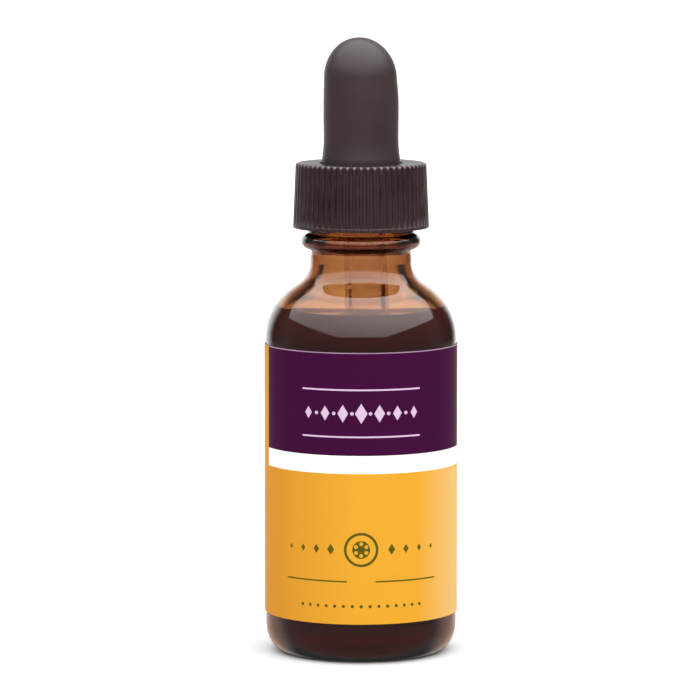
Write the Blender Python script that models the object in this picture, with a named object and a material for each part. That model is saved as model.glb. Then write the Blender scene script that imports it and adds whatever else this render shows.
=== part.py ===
"""Glass dropper bottle of one fluid ounce, with a screw collar, a rubber bulb and a glass pipette.

The bottle stands on z = 0 with its axis on Z, and the front of its label faces -Y. Sizes are in metres.
A profile is a list of (radius, height) points, which is turned about Z.
"""

import math

import bmesh
import bpy

MM = 0.001
TURN = 2 * math.pi

# Clearance between pieces that touch on the real thing
REST_GAP = 0.3 * MM

# Bottle
BODY_RADIUS = 16.25 * MM
WALL = 2.3 * MM
FLOOR_HEIGHT = 2.6 * MM
FLOOR_CORNER = 3.4 * MM
PUSH_UP_HEIGHT = 1.1 * MM
PUSH_UP_SHOULDER = (6.2 * MM, 0.8 * MM)
BEARING_INNER_RADIUS = 11.2 * MM
BEARING_OUTER_RADIUS = 12.75 * MM
HEEL_HEIGHT = 5.0 * MM
SHOULDER_START = 53.5 * MM
SHOULDER_RADIUS = 10.5 * MM
INNER_SHOULDER_START = 55.0 * MM
INNER_SHOULDER_RADIUS = 6.4 * MM
NECK_RADIUS = 8.62 * MM
NECK_START = 66.4 * MM
NECK_SWEEP = 4.0 * MM
NECK_END = 67.3 * MM
GROOVE_RADIUS = 8.4 * MM
BEAD_HEIGHT = 70.1 * MM
BEAD_SECTION = 1.3 * MM
BEAD_REACH = 10.15 * MM
BORE_RADIUS = 6.35 * MM
BORE_START = 66.6 * MM
BORE_SWEEP = 5.8 * MM
FINISH_RADIUS = 9.0 * MM
LIP_HEIGHT = 80.2 * MM
LIP_ROUND = 0.7 * MM
BOTTLE_COLUMNS = 48

# Screw thread: one start, eight turns to the inch
THREAD_PITCH = 3.175 * MM
THREAD_COLUMNS = 48
THREAD_SINK = 0.4 * MM
THREAD_RUN_OUT = 0.12
THREAD_END_SHARE = 0.1
THREAD_CREST_HALF = 0.45 * MM
THREAD_ROOT_HALF = 1.0 * MM
NECK_THREAD_CREST = 9.7 * MM
NECK_THREAD_TOP = 78.4 * MM
NECK_THREAD_TURNS = 1.25
COLLAR_THREAD_CREST = 9.3 * MM
COLLAR_THREAD_TURNS = 0.85

# Collar
COLLAR_BOTTOM = 72.35 * MM
COLLAR_TOP = 83.3 * MM
COLLAR_BORE_RADIUS = 10.05 * MM
COLLAR_PANEL = 1.3 * MM
COLLAR_HOLE_RADIUS = 7.1 * MM
COLLAR_RIM_RADIUS = 11.55 * MM
COLLAR_RIM_HEIGHT = 0.6 * MM
COLLAR_CHAMFER = 0.45 * MM
COLLAR_EDGE = 0.15 * MM
RIB_COUNT = 60
RIB_CREST_BOTTOM = 11.5 * MM
RIB_CREST_TOP = 11.08 * MM
RIB_DEPTH = 0.35 * MM
RIB_CREST_SHARE = 0.38
RIB_FLANK_SHARE = 0.14

# Rubber bulb
BULB_FLANGE_RADIUS = 8.9 * MM
BULB_FLANGE_EDGE = 0.2 * MM
BULB_FOOT_RADIUS = 6.62 * MM
BULB_FOOT_TOP = 84.0 * MM
BULB_WAIST_RADIUS = 6.34 * MM
BULB_WAIST = (86.8 * MM, 89.0 * MM)
BULB_RADIUS = 6.38 * MM
BULB_FULL_HEIGHT = (91.0 * MM, 93.5 * MM)
BULB_DOME_RADIUS = 6.18 * MM
BULB_DOME_START = 97.6 * MM
BULB_TOP = 104.5 * MM
# Soft rubber: above this height the bulb leans a little towards -X
BULB_LEAN_START = 94.0 * MM
BULB_LEAN = 0.028
BULB_WALL = 1.4 * MM
BULB_GRIP_TOP = 88.6 * MM
BULB_COLUMNS = 36

# Glass pipette
PIPETTE_RADIUS = 3.68 * MM
PIPETTE_BORE_RADIUS = 2.65 * MM
PIPETTE_TOP = 87.6 * MM
PIPETTE_TIP = 6.0 * MM
PIPETTE_TIP_RADIUS = 1.45 * MM
PIPETTE_TIP_BORE = 0.7 * MM
PIPETTE_TAPER_TOP = 15.0 * MM
PIPETTE_BEND = (3.25 * MM, 12.8 * MM)
PIPETTE_COLUMNS = 24
# The rubber holds the tube a little askew, so it leans towards +X below this height
PIPETTE_HOLD = 84.5 * MM
PIPETTE_LEAN = math.radians(2.35)

# Liquid and label
FILL_HEIGHT = 57.7 * MM
LABEL_BOTTOM = 6.95 * MM
LABEL_TOP = 52.75 * MM
LABEL_GAP = 0.1 * MM
LABEL_THICKNESS = 0.14 * MM
LABEL_SEAM = 1.6 * MM


def arc(centre_r, centre_z, radius_r, radius_z, from_deg, to_deg, steps):
    """Points of an elliptical arc in a profile, both ends included."""
    points = []
    for step in range(steps + 1):
        angle = math.radians(from_deg + (to_deg - from_deg) * step / steps)
        points.append((centre_r + radius_r * math.cos(angle), centre_z + radius_z * math.sin(angle)))
    return points


def sweep(body_radius, body_end, shoulder_radius, neck_radius, neck_start, neck_sweep, steps):
    """An S from an upright body wall, round a shoulder and back to an upright neck wall.

    Both arcs are tangent to the straight slope between them.
    """
    low_r = body_radius - shoulder_radius
    high_r = neck_radius + neck_sweep
    apart = math.hypot(high_r - low_r, neck_start - body_end)
    lean = math.atan2(neck_start - body_end, high_r - low_r)
    turn = math.degrees(lean - math.acos((shoulder_radius + neck_sweep) / apart))
    shoulder = arc(low_r, body_end, shoulder_radius, shoulder_radius, 0, turn, steps)
    return shoulder + arc(high_r, neck_start, neck_sweep, neck_sweep, 180 + turn, 180, steps)


def linear(colour):
    """An sRGB hex colour as linear red, green, blue and full alpha."""
    channels = []
    for shift in (16, 8, 0):
        value = (colour >> shift & 255) / 255
        channels.append(value / 12.92 if value <= 0.04045 else ((value + 0.055) / 1.055) ** 2.4)
    return (*channels, 1.0)


def material(name, colour, roughness, transmission=0.0, ior=1.5):
    """A Principled material. Nothing on this object is metal."""
    made = bpy.data.materials.new(name)
    made.use_nodes = True
    shader = made.node_tree.nodes["Principled BSDF"]
    shader.inputs["Base Color"].default_value = linear(colour)
    shader.inputs["Roughness"].default_value = roughness
    shader.inputs["Metallic"].default_value = 0.0
    shader.inputs["Transmission Weight"].default_value = transmission
    shader.inputs["IOR"].default_value = ior
    made.diffuse_color = linear(colour)
    return made


def finished(name, shape, finish):
    """Turns a bmesh into a named, smooth-shaded object in the scene."""
    bmesh.ops.recalc_face_normals(shape, faces=shape.faces)
    mesh = bpy.data.meshes.new(name)
    shape.to_mesh(mesh)
    shape.free()
    mesh.shade_smooth()
    mesh.set_sharp_from_angle(angle=math.radians(35))
    mesh.materials.append(finish)
    made = bpy.data.objects.new(name, mesh)
    bpy.context.scene.collection.objects.link(made)
    return made


def turned(profile, columns):
    """Spins a closed profile about Z. Its points on the axis end up as one point each."""
    shape = bmesh.new()
    corners = [shape.verts.new((radius, 0, height)) for radius, height in profile]
    for first, second in zip(corners, corners[1:] + corners[:1]):
        if first.co.x > 0 or second.co.x > 0:
            shape.edges.new((first, second))
    outline = shape.verts[:] + shape.edges[:]
    bmesh.ops.spin(shape, geom=outline, cent=(0, 0, 0), axis=(0, 0, 1), angle=TURN, steps=columns)
    bmesh.ops.remove_doubles(shape, verts=shape.verts, dist=0.001 * MM)
    return shape


def add_thread(wall, name, root, crest, top, turns):
    """Raises a right-hand screw ridge on the wall, falling from height top, with both ends run out."""
    ridge = bmesh.new()
    steps = round(turns * THREAD_COLUMNS)
    previous = None
    for step in range(steps + 1):
        to_nearer_end = min(step, steps - step) / THREAD_COLUMNS
        share = max(THREAD_END_SHARE, min(1.0, to_nearer_end / THREAD_RUN_OUT))
        reach = root + (crest - root) * share
        angle = -TURN * (step + 0.5) / THREAD_COLUMNS
        height = top - THREAD_PITCH * step / THREAD_COLUMNS
        ring = []
        for radius, offset in (
            (root, -THREAD_ROOT_HALF),
            (reach, -THREAD_CREST_HALF),
            (reach, THREAD_CREST_HALF),
            (root, THREAD_ROOT_HALF),
        ):
            corner = (radius * math.cos(angle), radius * math.sin(angle), height + offset)
            ring.append(ridge.verts.new(corner))
        close_strip(ridge, previous, ring)
        previous = ring
    ridge.faces.new(reversed(previous))
    bmesh.ops.triangulate(ridge, faces=ridge.faces)
    guide = finished(name, ridge, wall.data.materials[0])
    guide.hide_render = True
    guide.display_type = "WIRE"
    union = wall.modifiers.new(name, "BOOLEAN")
    union.operation = "UNION"
    union.solver = "EXACT"
    union.object = guide


def close_strip(shape, previous, ring):
    """Walls from one section of a strip to the next. The first section is closed with a face."""
    if previous is None:
        shape.faces.new(ring)
        return
    for side in range(len(ring)):
        after = (side + 1) % len(ring)
        shape.faces.new((previous[side], previous[after], ring[after], ring[side]))


def build_bottle(glass):
    """Blown glass: base with a push-up, upright wall, shoulder, neck with a bead, threaded finish and lip."""
    bead_r = BEAD_REACH - BEAD_SECTION
    lip_z = LIP_HEIGHT - LIP_ROUND
    heel_r = BODY_RADIUS - BEARING_OUTER_RADIUS
    outside = [(0, PUSH_UP_HEIGHT), PUSH_UP_SHOULDER, (BEARING_INNER_RADIUS, 0)]
    outside += arc(BEARING_OUTER_RADIUS, HEEL_HEIGHT, heel_r, HEEL_HEIGHT, -90, 0, 6)
    outside += sweep(
        BODY_RADIUS, SHOULDER_START, SHOULDER_RADIUS, NECK_RADIUS, NECK_START, NECK_SWEEP, 5
    )
    outside += [(NECK_RADIUS, NECK_END), (GROOVE_RADIUS, BEAD_HEIGHT - 1.25 * BEAD_SECTION)]
    outside += arc(bead_r, BEAD_HEIGHT, BEAD_SECTION, BEAD_SECTION, -80, 75, 7)
    outside += [(FINISH_RADIUS, BEAD_HEIGHT + 1.1 * BEAD_SECTION)]
    outside += arc(FINISH_RADIUS - LIP_ROUND, lip_z, LIP_ROUND, LIP_ROUND, 0, 90, 3)
    inside = arc(BORE_RADIUS + LIP_ROUND, lip_z, LIP_ROUND, LIP_ROUND, 90, 180, 3)
    inner_shoulder = sweep(
        BODY_RADIUS - WALL,
        INNER_SHOULDER_START,
        INNER_SHOULDER_RADIUS,
        BORE_RADIUS,
        BORE_START,
        BORE_SWEEP,
        5,
    )
    inside += reversed(inner_shoulder)
    inside += reversed(floor_corner(0))
    inside += [(0, FLOOR_HEIGHT)]
    bottle = finished("bottle", turned(outside + inside, BOTTLE_COLUMNS), glass)
    add_thread(
        bottle,
        "neck_thread",
        FINISH_RADIUS - THREAD_SINK,
        NECK_THREAD_CREST,
        NECK_THREAD_TOP,
        NECK_THREAD_TURNS,
    )


def floor_corner(clearance):
    """The rounded corner between the bottle's inner floor and wall, this far inside the glass."""
    radius = BODY_RADIUS - WALL - FLOOR_CORNER - clearance
    height = FLOOR_HEIGHT + FLOOR_CORNER + clearance
    return arc(radius, height, FLOOR_CORNER, FLOOR_CORNER, -90, 0, 4)


def build_liquid(extract):
    """The liquid, a solid of the bottle's inner shape up to the fill line, with a plain hole for the pipette."""
    shoulder = INNER_SHOULDER_RADIUS - REST_GAP
    top_deg = math.degrees(math.asin((FILL_HEIGHT - INNER_SHOULDER_START) / shoulder))
    profile = [(0, FLOOR_HEIGHT + REST_GAP)]
    profile += floor_corner(REST_GAP)
    profile += arc(
        BODY_RADIUS - WALL - INNER_SHOULDER_RADIUS, INNER_SHOULDER_START, shoulder, shoulder, 0, top_deg, 3
    )
    profile += [(PIPETTE_RADIUS + REST_GAP, FILL_HEIGHT)]
    profile += reversed(pipette_outside(REST_GAP))
    profile += [(0, PIPETTE_TIP - REST_GAP)]
    liquid = turned(profile, BOTTLE_COLUMNS)
    lean(liquid, PIPETTE_RADIUS + 1.5 * REST_GAP, PIPETTE_TIP - 1.5 * REST_GAP)
    finished("liquid", liquid, extract)


def build_label(paper):
    """Printed label, one strip wrapped round the body, with a narrow seam of bare glass at the back."""
    inner = BODY_RADIUS + LABEL_GAP
    outer = inner + LABEL_THICKNESS
    seam = LABEL_SEAM / 2 / outer
    back = TURN / 4
    angles = [back + TURN * column / BOTTLE_COLUMNS for column in range(1, BOTTLE_COLUMNS)]
    wrap = bmesh.new()
    previous = None
    for angle in [back + seam, *angles, back + TURN - seam]:
        ring = []
        for radius, height in (
            (inner, LABEL_BOTTOM),
            (outer, LABEL_BOTTOM),
            (outer, LABEL_TOP),
            (inner, LABEL_TOP),
        ):
            ring.append(wrap.verts.new((radius * math.cos(angle), radius * math.sin(angle), height)))
        close_strip(wrap, previous, ring)
        previous = ring
    wrap.faces.new(reversed(previous))
    finished("label", wrap, paper)


def rib_level(shell, height, crest):
    """One level of the collar's ribbed wall: four corners for each rib."""
    pitch = TURN / RIB_COUNT
    half_crest = pitch * RIB_CREST_SHARE / 2
    half_foot = half_crest + pitch * RIB_FLANK_SHARE
    valley = crest - RIB_DEPTH
    ring = []
    for rib in range(RIB_COUNT):
        for offset, radius in (
            (-half_foot, valley),
            (-half_crest, crest),
            (half_crest, crest),
            (half_foot, valley),
        ):
            angle = pitch * rib + offset
            ring.append(shell.verts.new((radius * math.cos(angle), radius * math.sin(angle), height)))
    return ring


def plain_level(shell, height, radius):
    """One level of a round wall of the collar: one corner for each valley between ribs."""
    ring = []
    for rib in range(RIB_COUNT):
        angle = TURN * (rib + 0.5) / RIB_COUNT
        ring.append(shell.verts.new((radius * math.cos(angle), radius * math.sin(angle), height)))
    return ring


def join_levels(shell, lower, upper):
    """Walls between two levels of the collar, plain or ribbed."""
    if len(lower) == len(upper):
        for first in range(len(lower)):
            second = (first + 1) % len(lower)
            shell.faces.new((lower[first], lower[second], upper[second], upper[first]))
        return
    plain, ribbed = (lower, upper) if len(lower) < len(upper) else (upper, lower)
    for rib in range(RIB_COUNT):
        foot = ribbed[4 * rib : 4 * rib + 4]
        next_foot = ribbed[(4 * rib + 4) % len(ribbed)]
        shell.faces.new((plain[rib - 1], plain[rib], *reversed(foot)))
        shell.faces.new((plain[rib], next_foot, foot[3]))


def build_collar(plastic):
    """Moulded screw collar: plain rim, ribbed wall, flat top with a hole for the bulb, thread inside."""
    rim_top = COLLAR_BOTTOM + COLLAR_RIM_HEIGHT
    panel = COLLAR_TOP - COLLAR_PANEL
    top_edge = RIB_CREST_TOP - RIB_DEPTH - COLLAR_EDGE
    shell = bmesh.new()
    levels = [
        plain_level(shell, COLLAR_BOTTOM, COLLAR_RIM_RADIUS - COLLAR_EDGE),
        plain_level(shell, COLLAR_BOTTOM + COLLAR_EDGE, COLLAR_RIM_RADIUS),
        plain_level(shell, rim_top, COLLAR_RIM_RADIUS),
        rib_level(shell, rim_top + COLLAR_EDGE, RIB_CREST_BOTTOM),
        rib_level(shell, COLLAR_TOP - COLLAR_CHAMFER, RIB_CREST_TOP),
        plain_level(shell, COLLAR_TOP, top_edge),
        plain_level(shell, COLLAR_TOP, COLLAR_HOLE_RADIUS + COLLAR_EDGE),
        plain_level(shell, COLLAR_TOP - COLLAR_EDGE, COLLAR_HOLE_RADIUS),
        plain_level(shell, panel, COLLAR_HOLE_RADIUS),
        plain_level(shell, panel, COLLAR_BORE_RADIUS),
        plain_level(shell, COLLAR_BOTTOM + COLLAR_EDGE, COLLAR_BORE_RADIUS),
        plain_level(shell, COLLAR_BOTTOM, COLLAR_BORE_RADIUS + COLLAR_EDGE),
    ]
    for lower, upper in zip(levels, levels[1:] + levels[:1]):
        join_levels(shell, lower, upper)
    collar = finished("collar", shell, plastic)
    # Half a pitch under the neck's ridge, so that it runs midway between that ridge's turns
    add_thread(
        collar,
        "collar_thread",
        COLLAR_BORE_RADIUS + THREAD_SINK,
        COLLAR_THREAD_CREST,
        NECK_THREAD_TOP - THREAD_PITCH / 2,
        COLLAR_THREAD_TURNS,
    )


def build_bulb(rubber):
    """Moulded rubber bulb: flange clamped by the collar, foot that grips the pipette, hollow domed body."""
    flange_bottom = LIP_HEIGHT + REST_GAP
    flange_top = COLLAR_TOP - COLLAR_PANEL - REST_GAP
    rim = BULB_FLANGE_RADIUS - BULB_FLANGE_EDGE
    grip = PIPETTE_RADIUS + REST_GAP
    cavity = BULB_DOME_RADIUS - BULB_WALL
    dome_rise = BULB_TOP - BULB_DOME_START
    outside = [
        (grip, flange_bottom),
        (rim, flange_bottom),
        (BULB_FLANGE_RADIUS, flange_bottom + BULB_FLANGE_EDGE),
        (BULB_FLANGE_RADIUS, flange_top - BULB_FLANGE_EDGE),
        (rim, flange_top),
        (BULB_FOOT_RADIUS, flange_top),
        (BULB_FOOT_RADIUS, BULB_FOOT_TOP),
        (BULB_WAIST_RADIUS, BULB_WAIST[0]),
        (BULB_WAIST_RADIUS, BULB_WAIST[1]),
        (BULB_RADIUS, BULB_FULL_HEIGHT[0]),
        (BULB_RADIUS, BULB_FULL_HEIGHT[1]),
    ]
    outside += arc(0, BULB_DOME_START, BULB_DOME_RADIUS, dome_rise, 0, 90, 11)
    inside = arc(0, BULB_DOME_START, cavity, dome_rise - BULB_WALL, 90, 0, 7)
    inside += [(cavity, BULB_GRIP_TOP + cavity - grip), (grip, BULB_GRIP_TOP)]
    bulb = turned(outside + inside, BULB_COLUMNS)
    for corner in bulb.verts:
        corner.co.x -= max(0, corner.co.z - BULB_LEAN_START) * BULB_LEAN
    finished("bulb", bulb, rubber)


def lean(shape, reach, lowest):
    """Leans what lies within this reach of the axis, and above this height, as the pipette leans."""
    for corner in shape.verts:
        if math.hypot(corner.co.x, corner.co.y) <= reach and corner.co.z >= lowest:
            corner.co.x += (PIPETTE_HOLD - corner.co.z) * math.tan(PIPETTE_LEAN)


def pipette_outside(clearance):
    """The pipette's outer wall from its tip to the top of its taper, this far outside the glass."""
    return [
        (PIPETTE_TIP_RADIUS + clearance, PIPETTE_TIP - clearance),
        (PIPETTE_BEND[0] + clearance, PIPETTE_BEND[1]),
        (PIPETTE_RADIUS + clearance, PIPETTE_TAPER_TOP),
    ]


def build_pipette(glass):
    """Drawn glass tube, fire-polished at the top and drawn to a narrow tip."""
    wall = PIPETTE_RADIUS - PIPETTE_BORE_RADIUS
    profile = pipette_outside(0)
    profile += arc(PIPETTE_BORE_RADIUS + wall / 2, PIPETTE_TOP - wall / 2, wall / 2, wall / 2, 0, 180, 5)
    profile += [
        (PIPETTE_BORE_RADIUS, PIPETTE_TAPER_TOP),
        (PIPETTE_BEND[0] - wall, PIPETTE_BEND[1]),
        (PIPETTE_TIP_BORE, PIPETTE_TIP),
    ]
    tube = turned(profile, PIPETTE_COLUMNS)
    lean(tube, 2 * PIPETTE_RADIUS, 0)
    finished("pipette", tube, glass)


def main():
    for old in list(bpy.data.objects):
        bpy.data.objects.remove(old)
    build_bottle(material("amber_glass", 0x8A4A1C, 0.03, transmission=1.0, ior=1.52))
    build_liquid(material("dark_extract", 0x341A12, 0.05))
    build_label(material("gold_label", 0xF4AE38, 0.4))
    build_collar(material("black_polypropylene", 0x2F2828, 0.42))
    build_bulb(material("black_rubber", 0x322B2C, 0.6))
    build_pipette(material("clear_glass", 0xF2F5F2, 0.03, transmission=1.0, ior=1.52))


main()
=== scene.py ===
import math

import bmesh
import bpy
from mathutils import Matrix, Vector


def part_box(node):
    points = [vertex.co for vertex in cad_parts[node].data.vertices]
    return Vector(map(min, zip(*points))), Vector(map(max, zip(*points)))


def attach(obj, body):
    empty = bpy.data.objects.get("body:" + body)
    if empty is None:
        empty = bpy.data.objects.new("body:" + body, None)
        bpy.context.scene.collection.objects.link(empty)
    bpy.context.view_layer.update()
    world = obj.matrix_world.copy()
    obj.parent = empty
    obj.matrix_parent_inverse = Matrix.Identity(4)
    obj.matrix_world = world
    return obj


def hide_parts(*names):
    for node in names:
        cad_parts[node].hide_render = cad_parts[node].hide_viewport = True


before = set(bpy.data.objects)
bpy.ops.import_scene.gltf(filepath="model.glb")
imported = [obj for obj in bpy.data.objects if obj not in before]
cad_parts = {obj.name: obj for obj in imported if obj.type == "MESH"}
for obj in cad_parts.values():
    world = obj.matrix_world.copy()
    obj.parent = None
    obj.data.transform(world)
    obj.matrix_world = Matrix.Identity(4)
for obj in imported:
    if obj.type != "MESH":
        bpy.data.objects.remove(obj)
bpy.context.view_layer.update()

# Bottle: a one-ounce round bottle of soda-lime glass, tinted amber to keep light off what it holds.
# It is blown in a two-part mould, so the walls are smooth and faintly wavy, with a fine seam on either
# side, while the neck, its bead and the screw finish are pressed thick.
MM = 0.001
TURN = 2 * math.pi
bottle_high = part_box("bottle")[1]
BODY_RADIUS = bottle_high.x / MM
LIP_HEIGHT = bottle_high.z / MM
WALL = 2.3
FLOOR_HEIGHT = 2.6
FLOOR_CORNER = 3.4
PUSH_UP_HEIGHT = 1.1
PUSH_UP_CURVE = 55.1
BEARING_INNER = 11.2
BEARING_OUTER = 12.75
BEARING_ROUND_WIDTH = 0.9
BEARING_ROUND_HEIGHT = 0.35
HEEL_HEIGHT = 5.0
SHOULDER_START = 53.5
SHOULDER_RADIUS = 10.5
INNER_SHOULDER_START = 55.0
INNER_SHOULDER_RADIUS = 6.4
NECK_RADIUS = 8.62
NECK_START = 66.4
NECK_SWEEP = 4.0
NECK_END = 67.3
GROOVE_RADIUS = 8.4
BEAD_HEIGHT = 70.1
BEAD_SECTION = 1.3
BEAD_REACH = 10.15
BORE_RADIUS = 6.35
BORE_START = 66.6
BORE_SWEEP = 5.8
FINISH_RADIUS = 9.0
LIP_ROUND = 0.7
THREAD_PITCH = 3.175
THREAD_CREST_HALF = 0.45
THREAD_ROOT_HALF = 1.0
THREAD_RUN_OUT = 0.12
NECK_THREAD_RISE = 0.7
NECK_THREAD_TOP = 78.4
NECK_THREAD_TURNS = 1.25
SEAM_HEIGHT = 0.035
SEAM_WIDTH = 0.18
FILL_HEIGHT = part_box("liquid")[1].z / MM
MENISCUS_RISE = 0.7
WETTED_HEIGHT = FILL_HEIGHT + MENISCUS_RISE
GLASS_IOR = 1.52
EXTRACT_IOR = 1.36
AMBER_TINT = (0.664, 0.385, 0.01, 1)
AMBER_DENSITY = 780.0


def linear(colour):
    """An sRGB hex colour as linear red, green, blue and full alpha."""
    channels = []
    for shift in (16, 8, 0):
        value = (colour >> shift & 255) / 255
        channels.append(value / 12.92 if value <= 0.04045 else ((value + 0.055) / 1.055) ** 2.4)
    return (*channels, 1.0)


def new_material(name):
    """An empty node material."""
    made = bpy.data.materials.new(name)
    made.use_nodes = True
    made.node_tree.nodes.clear()
    return made


def add(owner, kind, inputs=None, **settings):
    """Adds a node. Each input, by name or number, is a value or the socket that it links from."""
    tree = owner.node_tree
    node = tree.nodes.new(kind)
    for name, value in settings.items():
        setattr(node, name, value)
    for name, value in (inputs or {}).items():
        if isinstance(value, bpy.types.NodeSocket):
            tree.links.new(value, node.inputs[name])
        else:
            node.inputs[name].default_value = value
    return node


def smooth(share):
    """Eases a share from 0 to 1 in and out."""
    return share * share * (3 - 2 * share)


def arc(centre_r, centre_z, radius_r, radius_z, from_deg, to_deg, steps):
    """Points of an elliptical arc in a (radius, height) profile, both ends included."""
    points = []
    for step in range(steps + 1):
        angle = math.radians(from_deg + (to_deg - from_deg) * step / steps)
        points.append((centre_r + radius_r * math.cos(angle), centre_z + radius_z * math.sin(angle)))
    return points


def straight(start, end, steps):
    """Points along a straight stretch of a profile, without its first."""
    points = []
    for step in range(1, steps + 1):
        share = step / steps
        points.append((start[0] + (end[0] - start[0]) * share, start[1] + (end[1] - start[1]) * share))
    return points


def sweep(body_radius, body_end, shoulder_radius, neck_radius, neck_start, neck_sweep, steps):
    """An S from an upright wall, round a shoulder and back to an upright neck, with a straight between."""
    low_r = body_radius - shoulder_radius
    high_r = neck_radius + neck_sweep
    apart = math.hypot(high_r - low_r, neck_start - body_end)
    lean = math.atan2(neck_start - body_end, high_r - low_r)
    turn = math.degrees(lean - math.acos((shoulder_radius + neck_sweep) / apart))
    shoulder = arc(low_r, body_end, shoulder_radius, shoulder_radius, 0, turn, steps)
    return shoulder + arc(high_r, neck_start, neck_sweep, neck_sweep, 180 + turn, 180, steps)


def placed(name, mesh):
    """A smooth-shaded object of this mesh, in the scene."""
    mesh.shade_smooth()
    piece = bpy.data.objects.new(name, mesh)
    bpy.context.scene.collection.objects.link(piece)
    return piece


def turned(name, profile, columns, relief=None, ring=False):
    """A smooth piece turned from a profile in mm that runs up its outer side. A ring closes on itself.

    Relief gives how far a point at this angle, radius and height stands out from the profile.
    """
    shape = bmesh.new()
    rings = []
    for radius, height in profile:
        corners = []
        for column in range(columns if radius > 0 else 1):
            angle = TURN * column / columns
            reach = radius + (relief(angle, radius, height) if relief else 0)
            place = (reach * MM * math.cos(angle), reach * MM * math.sin(angle), height * MM)
            corners.append(shape.verts.new(place))
        rings.append(corners)
    pairs = list(zip(rings, rings[1:]))
    if ring:
        pairs.append((rings[-1], rings[0]))
    for lower, upper in pairs:
        # Two points on the axis have no wall between them
        for column in range(columns if len(lower) + len(upper) > 2 else 0):
            after = (column + 1) % columns
            corners = (
                lower[column % len(lower)],
                lower[after % len(lower)],
                upper[after % len(upper)],
                upper[column % len(upper)],
            )
            shape.faces.new(dict.fromkeys(corners))
    mesh = bpy.data.meshes.new(name)
    shape.to_mesh(mesh)
    shape.free()
    return placed(name, mesh)


def ridge(angle, height, top, turns):
    """How much of the screw ridge, from 0 to 1, stands at this angle and height of the wall."""
    share = 0
    for lap in range(math.ceil(turns) + 1):
        along = lap - angle / TURN
        if 0 <= along <= turns:
            off = abs(height - (top - THREAD_PITCH * along))
            flank = (THREAD_ROOT_HALF - off) / (THREAD_ROOT_HALF - THREAD_CREST_HALF)
            run_out = min(along, turns - along) / THREAD_RUN_OUT
            share = max(share, min(1, max(0, flank)) * min(1, run_out))
    return smooth(share)


def bottle_relief(angle, radius, height):
    """The screw ridge on the finish, and the mould's seam up either side."""
    on_finish = BEAD_HEIGHT + 1.2 * BEAD_SECTION < height < LIP_HEIGHT - LIP_ROUND
    if on_finish and radius > FINISH_RADIUS - 0.001:
        return NECK_THREAD_RISE * ridge(angle, height, NECK_THREAD_TOP, NECK_THREAD_TURNS)
    if radius > NECK_RADIUS - 0.3 and 0.5 < height:
        off = radius * abs(math.sin(angle)) / SEAM_WIDTH
        return SEAM_HEIGHT * max(0, 1 - off * off)
    return 0


bead_r = BEAD_REACH - BEAD_SECTION
finish_start = (FINISH_RADIUS, BEAD_HEIGHT + 1.15 * BEAD_SECTION)
finish_end = (FINISH_RADIUS, LIP_HEIGHT - LIP_ROUND)
base = [(0, PUSH_UP_HEIGHT)]
base += arc(0, PUSH_UP_HEIGHT - PUSH_UP_CURVE, PUSH_UP_CURVE, PUSH_UP_CURVE, 88, 79.5, 8)
base += arc(
    BEARING_INNER, BEARING_ROUND_HEIGHT, BEARING_ROUND_WIDTH, BEARING_ROUND_HEIGHT, 200, 270, 5
)
heel = arc(BEARING_OUTER, HEEL_HEIGHT, BODY_RADIUS - BEARING_OUTER, HEEL_HEIGHT, -90, 0, 24)
body = straight(heel[-1], (BODY_RADIUS, SHOULDER_START - 0.4), 24)
shoulder = sweep(BODY_RADIUS, SHOULDER_START, SHOULDER_RADIUS, NECK_RADIUS, NECK_START, NECK_SWEEP, 28)
neck = [(NECK_RADIUS, NECK_END), (NECK_RADIUS - 0.05, NECK_END + 0.5)]
neck += [(GROOVE_RADIUS, BEAD_HEIGHT - 1.3 * BEAD_SECTION)]
bead = arc(bead_r, BEAD_HEIGHT, BEAD_SECTION, BEAD_SECTION, -80, 75, 24)
finish = [finish_start] + straight(finish_start, finish_end, 64)
lip = arc(FINISH_RADIUS - LIP_ROUND, LIP_HEIGHT - LIP_ROUND, LIP_ROUND, LIP_ROUND, 5, 90, 10)
lip += arc(BORE_RADIUS + LIP_ROUND, LIP_HEIGHT - LIP_ROUND, LIP_ROUND, LIP_ROUND, 90, 180, 10)
inner = sweep(
    BODY_RADIUS - WALL,
    INNER_SHOULDER_START,
    INNER_SHOULDER_RADIUS,
    BORE_RADIUS,
    BORE_START,
    BORE_SWEEP,
    24,
)
inner_centre = BODY_RADIUS - WALL - INNER_SHOULDER_RADIUS
wetted_rise = WETTED_HEIGHT - INNER_SHOULDER_START
inner.append((inner_centre + math.sqrt(INNER_SHOULDER_RADIUS**2 - wetted_rise**2), WETTED_HEIGHT))
inner.sort(key=lambda point: -point[1])
floor_centre = (BODY_RADIUS - WALL - FLOOR_CORNER, FLOOR_HEIGHT + FLOOR_CORNER)
floor_corner = arc(*floor_centre, FLOOR_CORNER, FLOOR_CORNER, 0, -90, 16)
glass_outline = base + heel + body + shoulder + neck + bead + finish + lip + inner + floor_corner
glass_outline += [(0, FLOOR_HEIGHT)]
bottle = turned("amber_bottle", glass_outline, 256, bottle_relief)

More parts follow.
